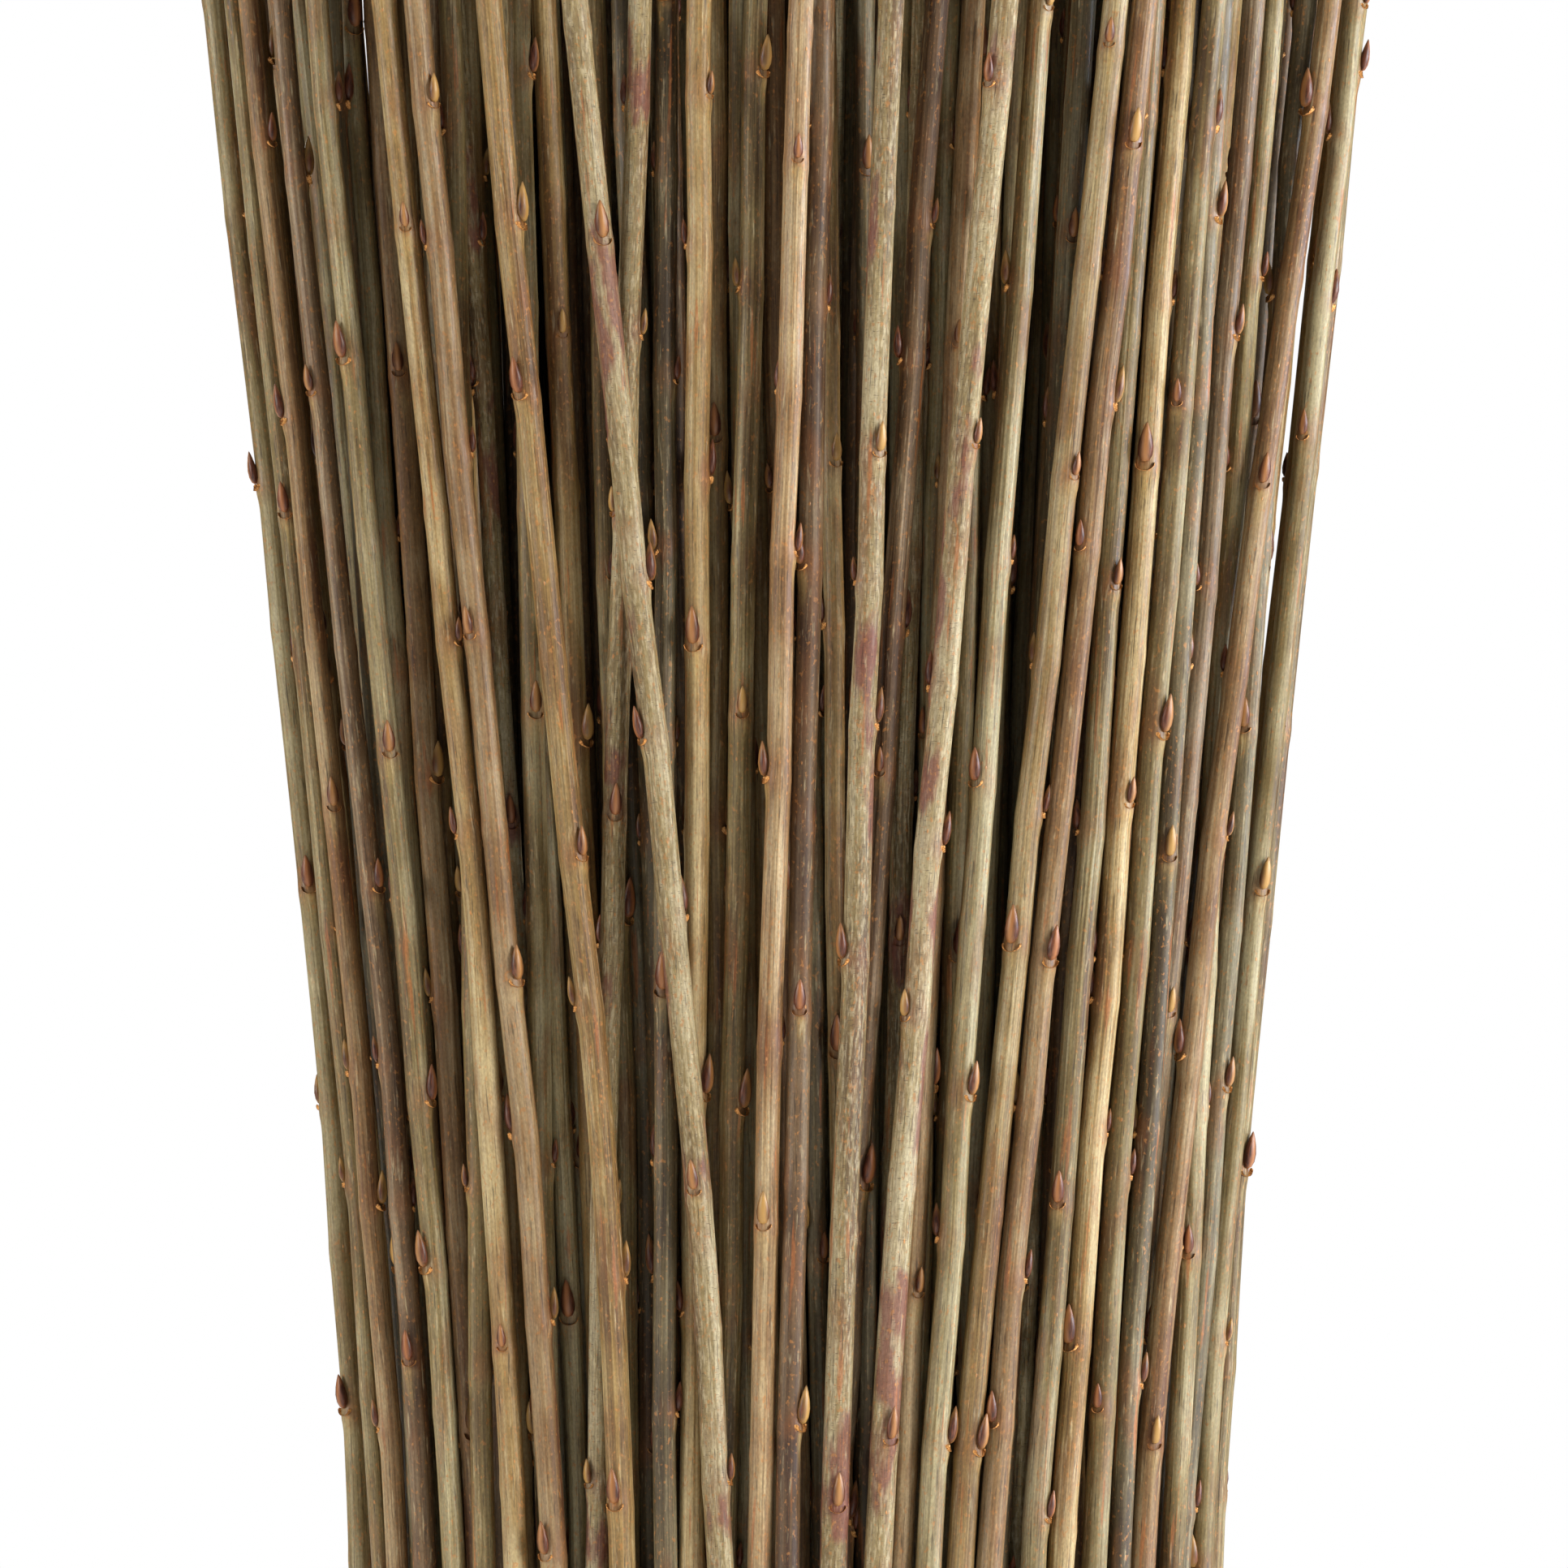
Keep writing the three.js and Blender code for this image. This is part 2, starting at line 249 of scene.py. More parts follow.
def willow_bark(name, dark, usual, light, flush="7d4c2b", scurf=0.0, roughness=0.48):
    """Dried one-year bark: satin where it is whole, duller where scuffed, wrinkled lengthwise."""
    material, tree, shader = new_material(name, roughness, 1.45)
    colour = banded_colour(tree, dark, usual, light)
    colour = marked(tree, colour, grain(tree, PATCH_WIDTH, 4, 3), 0.54, 0.68, 0.45, "714526")
    colour = bud_flush(tree, colour, flush)
    if scurf:
        colour = scurfed(tree, colour, scurf)
    scuffs = grain(tree, SCUFF_WIDTH, 10, 4)
    colour = worn(tree, colour, scuffs)
    pore = pores(tree)
    colour = add(tree, "ShaderNodeMix", {0: pore, 6: colour, 7: "bf8248"}, COLOUR, 2)

    wrinkles = grain(tree, WRINKLE_WIDTH, 90, 3)
    dryness = add(tree, "ShaderNodeAttribute", {}, {"attribute_name": "dryness"}, "Fac")
    gloss = {0: scuffs, 1: 0.35, 2: 0.65, 3: roughness - 0.1, 4: roughness + 0.14}
    tree.links.new(painted_wrinkle_shade_grit_and_tone(tree, colour, wrinkles, dryness), shader.inputs["Base Color"])
    tree.links.new(add(tree, "ShaderNodeMapRange", gloss), shader.inputs["Roughness"])
    tree.links.new(wrinkled_normal(tree, wrinkles, dryness, pore), shader.inputs["Normal"])
    return material


BARKS = {
    "olive": willow_bark("dried_olive_willow_bark", "4f3a20", "796842", "a19674"),
    "tan": willow_bark("dried_tan_willow_bark", "5b3e21", "866c41", "ad9b73"),
    "pink": willow_bark("dried_pinkish_willow_bark", "593822", "806340", "a5906d"),
    "purple": willow_bark("dried_purple_willow_bark", "412b1d", "675037", "8c7a61"),
    "slate": willow_bark("dried_slate_willow_bark", "3b2e1f", "5e5239", "857c62"),
    "grey": willow_bark("scurfy_grey_willow_bark", "584329", "85734c", "ab9f80", "6d3a2c", 0.45, 0.6),
}
print("barks:", ", ".join(BARKS))

# %% [markdown]
# ## Buds, leaf scars and cut wood
# A willow bud wears a single scale, like a cap. It is tough and glossy, maroon on most rods and
# golden where the light reached it. A paler orange-brown is painted along its crest as a highlight,
# with the gold of a golden bud laid there too, so its rim stays darker as painted shade. Under it
# is the corky scar of last summer's leaf. A fresh cut shows cream-coloured wood with a soft brown
# pith in the middle. Each bud's mesh says how far up it a point is, how near its crest, and how
# golden the whole bud turned.


# %% Bud, scar, wood and pith materials
BUD_STREAK_WIDTH = 0.28 * MM


def bud_scale():
    """The glossy cap of a winter bud: maroon, with a painted highlight along its crest that is golden on
    some, and a rim left darker as painted shade.
    """
    material, tree, shader = new_material("glossy_bud_scale", 0.42, 1.47)
    crest = add(tree, "ShaderNodeAttribute", {}, {"attribute_name": "crest"}, "Fac")
    gilt = add(tree, "ShaderNodeAttribute", {}, {"attribute_name": "gilt"}, "Fac")
    tip = add(tree, "ShaderNodeAttribute", {}, {"attribute_name": "tip"}, "Fac")
    streaks = grain(tree, BUD_STREAK_WIDTH, 7, 3)
    share = add(tree, "ShaderNodeMapRange", {0: streaks, 1: 0.35, 2: 0.65})
    colour = add(tree, "ShaderNodeMix", {0: share, 6: "35180f", 7: "6b3b27"}, COLOUR, 2)
    # the gold is laid only where the crest is, as part of the painted highlight
    golden_crest_highlight = add(tree, "ShaderNodeMath", {0: crest, 1: gilt}, MULTIPLY)
    # painted highlight: paler orange-brown along the crest, leaving the rim darker as painted shade
    colour = marked(tree, colour, crest, 0.4, 1.0, 0.8, "ab6c3e")
    colour = marked(tree, colour, golden_crest_highlight, 0.1, 0.75, 0.9, "b0894c")
    colour = marked(tree, colour, tip, 0.75, 1.0, 0.7, "3a1d18")
    tree.links.new(colour, shader.inputs["Base Color"])
    bump = add(tree, "ShaderNodeBump", {"Strength": 0.5, "Distance": 0.07 * MM, "Height": streaks})
    tree.links.new(bump, shader.inputs["Normal"])
    return material


def fine_grained(name, dark, light, width, roughness, ior):
    """A dry, matt plant tissue whose cells show as fine mottling."""
    material, tree, shader = new_material(name, roughness, ior)
    cells = grain(tree, width, 1, 3)
    share = add(tree, "ShaderNodeMapRange", {0: cells, 1: 0.35, 2: 0.65})
    colour = add(tree, "ShaderNodeMix", {0: share, 6: dark, 7: light}, COLOUR, 2)
    tree.links.new(colour, shader.inputs["Base Color"])
    bump = add(tree, "ShaderNodeBump", {"Strength": 0.6, "Distance": 0.1 * MM, "Height": cells})
    tree.links.new(bump, shader.inputs["Normal"])
    return material


BUD = bud_scale()
SCAR = fine_grained("corky_leaf_scar", "a9692f", "e6a961", 0.25 * MM, 0.75, 1.45)
WOOD = fine_grained("cut_willow_wood", "bfa678", "e0cfa6", 0.3 * MM, 0.8, 1.5)
PITH = fine_grained("soft_brown_pith", "8d6d43", "ab8a5a", 0.2 * MM, 0.9, 1.5)
BUD_SLOT, SCAR_SLOT, WOOD_SLOT, PITH_SLOT, BARK_SLOT = range(5)
print("small parts:", BUD.name, SCAR.name, WOOD.name, PITH.name)

# %% [markdown]
# ## Where the outer stems lie
# The frame holds each outer stem as a plain rod with a ring of points every 50 mm. The middle of
# each ring is a point of the stem's centre line, and the ring's reach is its radius there. That
# is all that a detailed stem needs to know of it.


# %% Read the centre lines
SAME_RING = 0.1 * MM  # points closer in height than this belong to one ring


def centre_line(node):
    """Heights, centres and radii of the rings of a plain rod in the frame."""
    points = np.array([vertex.co for vertex in frame["nodes"][node].data.vertices])
    points = np.unique(np.round(points, 6), axis=0)
    heights = np.unique(np.round(points[:, 2], 4))
    rings = [points[np.abs(points[:, 2] - height) < SAME_RING] for height in heights]
    centres = np.array([ring[:, :2].mean(axis=0) for ring in rings])
    radii = [np.linalg.norm(ring[:, :2] - c, axis=1).max() for ring, c in zip(rings, centres)]
    return heights, centres, np.array(radii)


outer_names = sorted(name for name in frame["nodes"] if "_stem_" in name)
outer_lines = {name: centre_line(name) for name in outer_names}
some_heights, _, some_radii = outer_lines[outer_names[0]]
print(len(outer_names), "outer stems;", outer_names[0], "has", len(some_heights), "rings of radius",
      (some_radii / MM).round(2), "mm")

# %% [markdown]
# ## Packing the stems inside the bundle
# The frame gives the inside of the bundle as one solid. The real thing has some three hundred
# and twenty more rods there. To pack them, each starts at its own place in a sunflower pattern, which
# fills an ellipse evenly. Then, level by level, rods that overlap push each other apart, and each
# rod is straightened a little, because wood resists bending. The outer rods don't move. The inner
# rods keep the width of a rod or two behind the skin, so that dark gaps open between the outer ones.

# %% Pack the inner stems
INNER_COUNT = 318
INNER_RADIUS = 2.0 * MM
SETBACKS = {"front": 8.5 * MM, "back": 4.5 * MM, "side": 5.5 * MM}  # from the skin to the inner stems
AIR = 0.15 * MM
ROUNDS = 110
LEVELS = 13
GOLDEN_ANGLE = math.pi * (3 - math.sqrt(5))

outer_xy = np.array([outer_lines[name][1] for name in outer_names]).transpose(1, 0, 2)
outer_radius = np.array([outer_lines[name][2] for name in outer_names]).T
skin = (np.abs(outer_xy) + outer_radius[..., None]).max(axis=1)  # half width and half depth per level
shrink = [SETBACKS["side"], 0.5 * (SETBACKS["front"] + SETBACKS["back"])]
inner_skin = skin - shrink
inner_middle = np.array([0, 0.5 * (SETBACKS["front"] - SETBACKS["back"])])


def sunflower(count, rng):
    """Places that fill an ellipse at every level, each drifting a little on the way up."""
    index = np.arange(count)
    reach = np.sqrt((index + 0.5) / count)
    level = np.linspace(-0.5, 0.5, LEVELS)[:, None]
    angle = index * GOLDEN_ANGLE + level * rng.normal(0, 0.10, count)
    reach = np.clip(reach + level * rng.normal(0, 0.07, count), 0, 1)
    unit = np.stack([reach * np.cos(angle), reach * np.sin(angle)], axis=-1)
    return inner_middle + unit * (inner_skin - INNER_RADIUS)[:, None, :]


def push_apart(moving, radius, fixed, fixed_radius):
    """Moves the overlapping discs of one level apart. Fixed discs give no way."""
    every = np.concatenate([moving, fixed])
    radii = np.concatenate([radius, fixed_radius])
    between = moving[:, None] - every[None]
    distance = np.linalg.norm(between, axis=-1) + 1e-9
    missing = np.clip(radius[:, None] + radii[None] + AIR - distance, 0, None)
    missing[np.arange(len(moving)), np.arange(len(moving))] = 0
    give = np.where(np.arange(len(every)) < len(moving), 0.5, 1.0)
    return moving + (between * (missing * give / distance)[..., None]).sum(axis=1) * 0.8


def pack_inside(count, radius, rng):
    """The centre of each inner stem at each level."""
    places = sunflower(count, rng)
    for turn in range(ROUNDS):
        stiffness = 0.25 if turn < 0.75 * ROUNDS else 0.04
        between = 0.5 * (places[:-2] + places[2:])
        places[1:-1] += stiffness * (between - places[1:-1])
        for level in range(LEVELS):
            places[level] = push_apart(places[level], radius, outer_xy[level], outer_radius[level])
        reach = places - inner_middle
        past_skin = np.linalg.norm(reach / (inner_skin[:, None, :] - radius[None, :, None]), axis=-1)
        places = inner_middle + reach / np.maximum(past_skin, 1)[..., None]
    return places


rng = np.random.default_rng(7)
inner_radius = INNER_RADIUS * rng.uniform(0.86, 1.1, INNER_COUNT)
inner_xy = pack_inside(INNER_COUNT, inner_radius, rng)
halfway = inner_xy[LEVELS // 2]
gaps = np.linalg.norm(halfway[:, None] - halfway[None], axis=-1) / MM
print("closest inner stems at mid height:", round(float(np.sort(gaps, axis=None)[INNER_COUNT]), 2), "mm")

# %% [markdown]
# ## A bud and its leaf scar
# A bud is a long, slim drop pressed against the stem: fullest a third of the way up and drawn to a
# point. A sphere of few faces takes that shape when each of its rings is scaled by a formula. The
# scar is a thin, curved ridge below it, like a smile: a small circle spun half a turn round the
# bud's foot. Both are made once, at a length of one unit, and copied to every node of every stem.

# %% Make the bud and the scar once
BUD_SEGMENTS = 8
BUD_RINGS = 7
BUD_FLATNESS = 0.75  # depth over width, since a bud is pressed against its stem


def mesh_from(bm, name):
    """Writes a bmesh to a new mesh with smooth faces that point outwards."""
    bmesh.ops.recalc_face_normals(bm, faces=bm.faces)
    for face in bm.faces:
        face.smooth = True
    mesh = bpy.data.meshes.new(name)
    bm.to_mesh(mesh)
    bm.free()
    return mesh


def bud_shape():
    """A bud of unit length and unit width: x points away from the stem, and z up along it."""
    bm = bmesh.new()
    bmesh.ops.create_uvsphere(bm, u_segments=BUD_SEGMENTS, v_segments=BUD_RINGS, radius=0.5)
    for vertex in bm.verts:
        up = min(max(vertex.co.z + 0.5, 0.0), 1.0)
        ring = max(math.sqrt(vertex.co.x**2 + vertex.co.y**2), 1e-9)
        swell = max(math.sin(math.pi * up**0.72), 0) ** 0.6 * (1 - 0.4 * up**2)
        factor = 0.5 * swell / ring if 0 < up < 1 else 0
        vertex.co.x *= BUD_FLATNESS * factor
        vertex.co.y *= factor
        vertex.co.x += 0.02 + 0.17 * up
        vertex.co.z = up
    return mesh_from(bm, "bud_shape")


def scar_shape():
    """A ridge of unit width that curls under the foot of a bud."""
    bm = bmesh.new()
    ring = bmesh.ops.create_circle(bm, cap_ends=True, segments=5, radius=0.15)["verts"]
    turn = Matrix.Rotation(math.radians(90), 4, "Y") @ Matrix.Rotation(math.radians(90), 4, "X")
    bmesh.ops.transform(bm, matrix=turn, verts=ring)
    bmesh.ops.translate(bm, vec=(0, -0.5, 0), verts=ring)
    bmesh.ops.spin(
        bm, geom=bm.verts[:] + bm.edges[:] + bm.faces[:], cent=(0, 0, 0), axis=(1, 0, 0),
        angle=math.pi, steps=7, use_merge=False,
    )
    for vertex in bm.verts:
        vertex.co.x -= 0.45 * vertex.co.y**2
        vertex.co.z *= 0.7
    return mesh_from(bm, "scar_shape")


bud_mesh = bud_shape()
scar_mesh = scar_shape()
print("bud:", len(bud_mesh.polygons), "faces; scar:", len(scar_mesh.polygons), "faces")

# %% [markdown]
# ## Growing a straight stem
# The stem starts as a cone with two caps. The caps are inset twice, which leaves a rim of bark, a
# disc of wood and a dot of pith. The long edges are then cut into many rings, and each ring is
# moved to its own height: close together round the buds, where the shape changes, and far apart
# on the plain stretches between them.
#
# Buds sit every 20 to 44 mm, each two fifths of a turn round the stem from the last.
# Below each bud the stem swells into a small cushion, and at each bud it changes direction
# slightly, so that a willow rod is never quite straight.

# %% Buds along a stem
BUD_GAP = (20 * MM, 44 * MM)
BUD_LENGTH = (3.7 * MM, 6.5 * MM)
BUD_WIDTH = 0.42  # this and the next three are shares of its length
BUD_DROP = 0.05
SCAR_WIDTH = 0.48
SCAR_DROP = 0.08
BUD_TURN = math.radians(144)
GOLDEN_SHARE = 0.22  # of the buds turn all golden
FOOT_CLEAR = 6 * MM  # no bud sits closer than this to the foot
TIP_CLEAR = 9 * MM
FINE_BELOW = 5 * MM  # the rings are close together from this far below a bud
FINE_ABOVE = 3 * MM  # to this far above it
LEAST_STEP = 0.3 * MM  # and no two of them are closer than this
RIM = 0.25 * MM  # thickness of the bark
PITH_RADIUS = 0.55 * MM
CUSHION_HEIGHT = 0.34 * MM
KINK = 0.24 * MM  # sideways step of a stem at a bud
FLUTES = ((3, 0.022), (5, 0.016), (2, 0.02))  # ridges round the stem, and their height over its radius


def bud_places(length, draw):
    """Where the buds sit on one stem: height, angle, length, and how golden each is."""
    buds = []
    height = draw.uniform(FOOT_CLEAR, BUD_GAP[0])
    angle = draw.uniform(0, 2 * math.pi)
    while height < length - TIP_CLEAR:
        size = draw.uniform(*BUD_LENGTH)
        gilt = 1.0 if draw.random() < GOLDEN_SHARE else draw.uniform(0.05, 0.45)
        buds.append((height, angle, size, gilt))
        height += draw.uniform(*BUD_GAP)
        angle += BUD_TURN + draw.gauss(0, 0.25)
    return buds


def ring_heights(length, buds, plain_step, bud_steps):
    """Heights of a stem's rings, with bud_steps more of them round each bud."""
    heights = set(np.linspace(0, length, max(2, round(length / plain_step))).round(5))
    for height, *_ in buds:
        heights.update((height + np.linspace(-FINE_BELOW, FINE_ABOVE, bud_steps)).round(5))
    ordered = np.array(sorted(h for h in heights if 0 <= h <= length))
    apart = np.diff(ordered, prepend=-1) > LEAST_STEP
    kept = ordered[apart]
    kept[-1] = length
    return kept


def bare_rod(radius, heights, sides):
    """A closed rod with rings at these heights, and its cut faces divided into wood and pith."""
    bm = bmesh.new()
    bmesh.ops.create_cone(bm, cap_ends=True, cap_tris=False, segments=sides,
                          radius1=radius, radius2=radius, depth=1.0)
    caps = [face for face in bm.faces if abs(face.normal.z) > 0.5]
    for face in bm.faces:
        face.material_index = BARK_SLOT
    for cap in caps:
        bmesh.ops.inset_region(bm, faces=[cap], thickness=RIM, use_even_offset=True)
        cap.material_index = WOOD_SLOT
        bmesh.ops.inset_region(bm, faces=[cap], thickness=radius - RIM - PITH_RADIUS, use_even_offset=True)
        cap.material_index = PITH_SLOT
        cap_ring = [face for edge in cap.edges for face in edge.link_faces if face is not cap]
        for face in cap_ring:
            face.material_index = WOOD_SLOT
    long_edges = [edge for edge in bm.edges if abs(edge.verts[0].co.z - edge.verts[1].co.z) > 0.5]
    bmesh.ops.subdivide_edges(bm, edges=long_edges, cuts=len(heights) - 2)
    for vertex in bm.verts:
        vertex.co.z = heights[round((vertex.co.z + 0.5) * (len(heights) - 1))]
    return bm


def add_buds(bm, radius_at, buds):
    """Copies the bud and the scar to each bud's place. Returns each bud's range of vertices."""
    ranges = []
    for height, angle, size, _ in buds:
        surface = radius_at(height) + CUSHION_HEIGHT
        turn = Matrix.Rotation(angle, 4, "Z")
        for shape, slot, wide, tall, drop in (
            (scar_mesh, SCAR_SLOT, SCAR_WIDTH * size, SCAR_WIDTH * size, SCAR_DROP * size),
            (bud_mesh, BUD_SLOT, BUD_WIDTH * size, size, BUD_DROP * size),
        ):
            start, first_face = len(bm.verts), len(bm.faces)
            bm.from_mesh(shape)
            bm.verts.ensure_lookup_table()
            bm.faces.ensure_lookup_table()
            foot = Matrix.Translation((surface, 0, height - drop))
            place = turn @ foot @ Matrix.Diagonal((wide, wide, tall, 1))
            bmesh.ops.transform(bm, matrix=place, verts=bm.verts[start:])
            for face in bm.faces[first_face:]:
                face.material_index = slot
        ranges.append((start, len(bm.verts)))
    return ranges


print("buds on one stem:", len(bud_places(0.6, random.Random(1))))

# %% [markdown]
# ## Bending it to its line
# A straight stem is easy to give a pattern, so its points are written down before it is bent, in
# the attribute that the bark reads. Then the cushions swell, the tip is cut at a slant, and every
# point moves sideways by as much as the stem's centre line does at its height. The line runs as a
# smooth curve through the middles of the rings that the frame gave.


# %% Bend and finish a stem
def smooth_line(heights, centres, at):
    """A smooth curve through the centres, read at other heights (a Catmull-Rom spline)."""
    slopes = np.gradient(centres, heights, axis=0)
    span = np.clip(np.searchsorted(heights, at, side="right") - 1, 0, len(heights) - 2)
    step = (heights[span + 1] - heights[span])[:, None]
    t = ((at - heights[span]) / (heights[span + 1] - heights[span]))[:, None].clip(0, 1)
    start, end = centres[span], centres[span + 1]
    leave, arrive = slopes[span] * step, slopes[span + 1] * step
    return (
        (2 * t**3 - 3 * t**2 + 1) * start + (t**3 - 2 * t**2 + t) * leave
        + (3 * t**2 - 2 * t**3) * end + (t**3 - t**2) * arrive
    )


def near_buds(points, buds):
    """How near each point is to a bud, how plainly below one, and how far the cushions lift it."""
    angle = np.arctan2(points[:, 1], points[:, 0])
    near, below, lift = np.zeros((3, len(points)))
    for height, bud_angle, *_ in buds:
        above = (points[:, 2] - height) / MM
        facing = 0.5 + 0.5 * np.cos(angle - bud_angle)
        near = np.maximum(near, np.exp(-((above / 3.6) ** 2)) * (0.3 + 0.7 * facing))
        streak = np.clip(-above / 2, 0, 1) * np.exp(above.clip(max=0) / 7)
        below = np.maximum(below, streak * facing**6)
        cushion = np.exp(-(((above + 1.2) / 1.8) ** 2))
        lift += CUSHION_HEIGHT * cushion * (0.25 + 0.75 * facing**3)
    return near, below, lift


def fluted(points, draw):
    """How much the shallow ridges of a dried stem widen it at each point, as a share of its radius."""
    angle = np.arctan2(points[:, 1], points[:, 0])
    swell = np.zeros(len(points))
    for ridges, height in FLUTES:
        wander = draw.uniform(1.5, 4) * np.sin(points[:, 2] / (draw.uniform(60, 120) * MM))
        swell += height * np.cos(ridges * angle + draw.uniform(0, 6) + wander)
    return swell


def kinks(heights, buds):
    """The sideways step that a stem makes at each bud, away from that bud."""
    if not buds:
        return np.zeros((len(heights), 2))
    at = np.array([bud[0] for bud in buds])
    away = -KINK * np.array([(math.cos(bud[1]), math.sin(bud[1])) for bud in buds])
    return np.stack([np.interp(heights, at, away[:, axis]) for axis in (0, 1)], axis=1)


def write(mesh, name, kind, values):
    """Stores values on a mesh's points under a name."""
    layer = mesh.attributes.new(name, kind, "POINT")
    field = "vector" if kind == "FLOAT_VECTOR" else "value"
    layer.data.foreach_set(field, np.asarray(values, np.float32).ravel())


def write_bark(mesh, points, buds, seed, draw):
    """Writes what the bark reads, from the straight stem. Returns how far the cushions lift it."""
    pattern_place = ((seed % 19) * 30 * MM, (seed // 19) * 30 * MM, 0)  # so no two stems look alike
    write(mesh, "grown", "FLOAT_VECTOR", points + pattern_place)
    near, below, lift = near_buds(points, buds)
    write(mesh, "near_bud", "FLOAT", near)
    write(mesh, "below_bud", "FLOAT", below)
    side = np.arctan2(points[:, 1], points[:, 0]) - draw.uniform(0, 2 * math.pi)
    write(mesh, "sun_side", "FLOAT", 0.5 + 0.5 * np.cos(side))
    write(mesh, "tone", "FLOAT", np.full(len(points), draw.uniform(0.86, 1.14)))
    write(mesh, "dryness", "FLOAT", np.full(len(points), draw.uniform(0.15, 1)))
    return lift


def write_buds(mesh, points, ranges, buds):
    """Writes what the bud scales read: how far up a point is, how near the crest, how golden."""
    tip, crest, gilt = np.zeros((3, len(points)))
    for (start, end), (height, angle, size, golden) in zip(ranges, buds):
        local = points[start:end]
        tip[start:end] = (local[:, 2] - height) / size
        around = np.abs(local[:, 1] * math.cos(angle) - local[:, 0] * math.sin(angle))
        crest[start:end] = 1 - around / (0.5 * BUD_WIDTH * size)
        gilt[start:end] = golden
    write(mesh, "tip", "FLOAT", tip)
    write(mesh, "crest", "FLOAT", crest)
    write(mesh, "gilt", "FLOAT", gilt)


def swell_bark(rod, lift, line, draw):
    """Swells the bark of a straight rod into cushions and ridges. The cut wood keeps its size."""
    heights, _, radii = line
    reach = np.linalg.norm(rod[:, :2], axis=1) + 1e-9
    on_bark = (reach / np.interp(rod[:, 2], heights, radii)) > 0.9
    widened = 1 + lift / reach + fluted(rod, draw)
    rod[:, :2] *= np.where(on_bark, widened, 1)[:, None]


def tip_drop(rod, length, radius, draw):
    """How far each point of the tip drops, since a knife cuts it at a slant."""
    at_tip = rod[:, 2] > length - 0.1 * MM
    slant = draw.uniform(0, 0.5)
    angle = draw.uniform(0, 2 * math.pi)
    slope = rod[:, 0] * math.cos(angle) + rod[:, 1] * math.sin(angle)
    return np.where(at_tip, slant * (slope + radius), 0)


def make_stem(name, line, bark, seed, sides=20, plain_step=6 * MM, bud_steps=9, budded=True):
    """One willow stem, grown straight, budded, and bent to its line."""
    draw = random.Random(seed)
    heights, centres, radii = line
    length = float(heights[-1])
    buds = bud_places(length, draw) if budded else []

    def radius_at(height):
        return float(np.interp(height, heights, radii))

    bm = bare_rod(radii[0], ring_heights(length, buds, plain_step, bud_steps), sides)
    rod_end = len(bm.verts)
    ranges = add_buds(bm, radius_at, buds)
    mesh = mesh_from(bm, name)

    points = np.empty(3 * len(mesh.vertices))
    mesh.vertices.foreach_get("co", points)
    points = points.reshape(-1, 3)
    rod = points[:rod_end]  # a view, so a change to the rod changes the points
    rod[:, :2] *= (np.interp(rod[:, 2], heights, radii) / radii[0])[:, None]
    lift = write_bark(mesh, points, buds, seed, draw)
    write_buds(mesh, points, ranges, buds)

    swell_bark(rod, lift[:rod_end], line, draw)
    drop = tip_drop(rod, length, radii[-1], draw)
    shift = smooth_line(heights, centres, points[:, 2]) + kinks(points[:, 2], buds)
    rod[:, 2] -= drop
    points[:, :2] += shift
    mesh.vertices.foreach_set("co", points.ravel())
    mesh.update()

    for material in (BUD, SCAR, WOOD, PITH, BARKS[bark]):
        mesh.materials.append(material)
    stem = bpy.data.objects.new(name, mesh)
    bpy.context.scene.collection.objects.link(stem)
    return stem


# %% [markdown]
# ## The outer stems
# Each outer stem stands in for its plain rod in the frame, one for one. The record's material
# slot of the rod says which bark it has.

# %% Make the outer stems
slots = {part["node"]: part["material_slot"] for part in frame["record"]["subparts"]}
bark_of = {name: slots[name].removeprefix("bark_") for name in outer_names}

outer_stems = []
for number, name in enumerate(outer_names):
    stem = make_stem(f"willow_{name}", outer_lines[name], bark_of[name], seed=number)
    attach(stem, "root")
    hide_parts(name)
    outer_stems.append(stem)
faces = sum(len(stem.data.polygons) for stem in outer_stems)
print(len(outer_stems), "outer stems,", faces, "faces")

# %% [markdown]
# ## The inner stems
# Most of the inner stems are only seen as dark rods between the outer ones and as tips from
# above, so they have few faces, and those deep inside have no buds. They are joined into a few
# pieces, because an object of hundreds of pieces is slow to work with.

# %% Make the inner stems
GROUPS = 8
BARK_MIX = ["olive", "tan", "slate", "pink", "olive", "purple", "tan", "olive", "grey", "slate"]
TRIM = 26 * MM  # how unevenly the tips are trimmed
BUDDED_DEPTH = 0.74  # of the way out to the skin

highest_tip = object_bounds()[1].z
trimmed = np.random.default_rng(11).uniform(0.05, 1, INNER_COUNT)


def inner_line(index):
    """Heights, centres and radii of one inner stem."""
    top = highest_tip - TRIM * trimmed[index]
    heights = np.append(np.arange(LEVELS - 1) * 50 * MM, top)
    taper = np.linspace(1, 0.9, LEVELS)
    return heights, inner_xy[:, index], inner_radius[index] * taper


def joined(stems, name):
    """Joins the stems into the first of them."""
    with bpy.context.temp_override(
        active_object=stems[0], object=stems[0],
        selected_objects=stems, selected_editable_objects=stems,
    ):
        bpy.ops.object.join()
    stems[0].name = name
    stems[0].data.name = name
    return stems[0]


outwardness = np.linalg.norm(inner_xy / skin[:, None, :], axis=-1).max(axis=0)
for group in range(GROUPS):
    members = []
    for index in range(group, INNER_COUNT, GROUPS):
        bark = BARK_MIX[index // GROUPS % len(BARK_MIX)]
        members.append(make_stem(
            f"inner_{index}", inner_line(index), bark, seed=1000 + index, sides=10,
            plain_step=25 * MM, bud_steps=3, budded=bool(outwardness[index] > BUDDED_DEPTH),
        ))
    piece = joined(members, f"willow_inner_stems_{group + 1}")
    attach(piece, "root")
    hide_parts("inner_stems")
    print(piece.name, len(piece.data.polygons), "faces")

